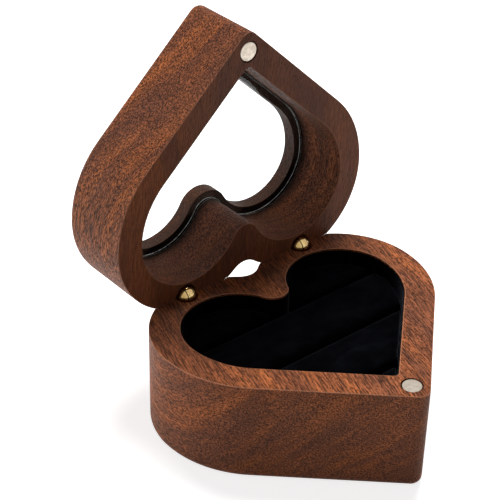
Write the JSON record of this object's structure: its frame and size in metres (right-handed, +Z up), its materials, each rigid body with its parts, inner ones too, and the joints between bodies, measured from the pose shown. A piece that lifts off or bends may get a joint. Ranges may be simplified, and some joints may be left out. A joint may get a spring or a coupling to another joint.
{
  "type": "ring display box",
  "caption": "Heart-shaped wooden ring box with a hinged window lid, a magnetic catch and a slotted velvet insert.",
  "frame": {"origin": "middle of the base's flat bottom face, halfway between the heart's tip and the backs of its lobes", "axes": "+Z up, +X along the hinge line, -Y towards the heart's tip and the catch; the lid stands open"},
  "size_m": [0.07, 0.0781, 0.0841],
  "materials": {
    "walnut": "oiled walnut, satin, open pores",
    "velvet": "black velvet over foam",
    "board": "thin black fibreboard",
    "clear_pane": "clear, polished",
    "brass": "polished",
    "nickel": "satin nickel plate"
  },
  "bodies": {
    "base": {"base_shell": "walnut", "base_magnet": "nickel", "insert_board": "board", "well_lining": "velvet", "left_rear_pad": "velvet", "right_rear_pad": "velvet", "middle_pad": "velvet", "front_pad": "velvet", "tip_pad": "velvet", "left_base_barrel": "brass", "left_base_ears": "brass", "left_base_rivet": "brass", "left_hinge_pin": "brass", "right_base_barrel": "brass", "right_base_ears": "brass", "right_base_rivet": "brass", "right_hinge_pin": "brass"},
    "lid": {"lid_frame": "walnut", "window_pane": "clear_pane", "lid_magnet": "nickel", "left_lid_barrel": "brass", "left_lid_leaf": "brass", "left_lid_rivet": "brass", "right_lid_barrel": "brass", "right_lid_leaf": "brass", "right_lid_rivet": "brass"}
  },
  "joints": [
    {"name": "lid_hinge", "type": "hinge", "parent": "base", "child": "lid", "pos_m": [0, 0.02818, 0.02465], "axis": [-1, 0, 0], "range_deg": [-90, 0]}
  ]
}
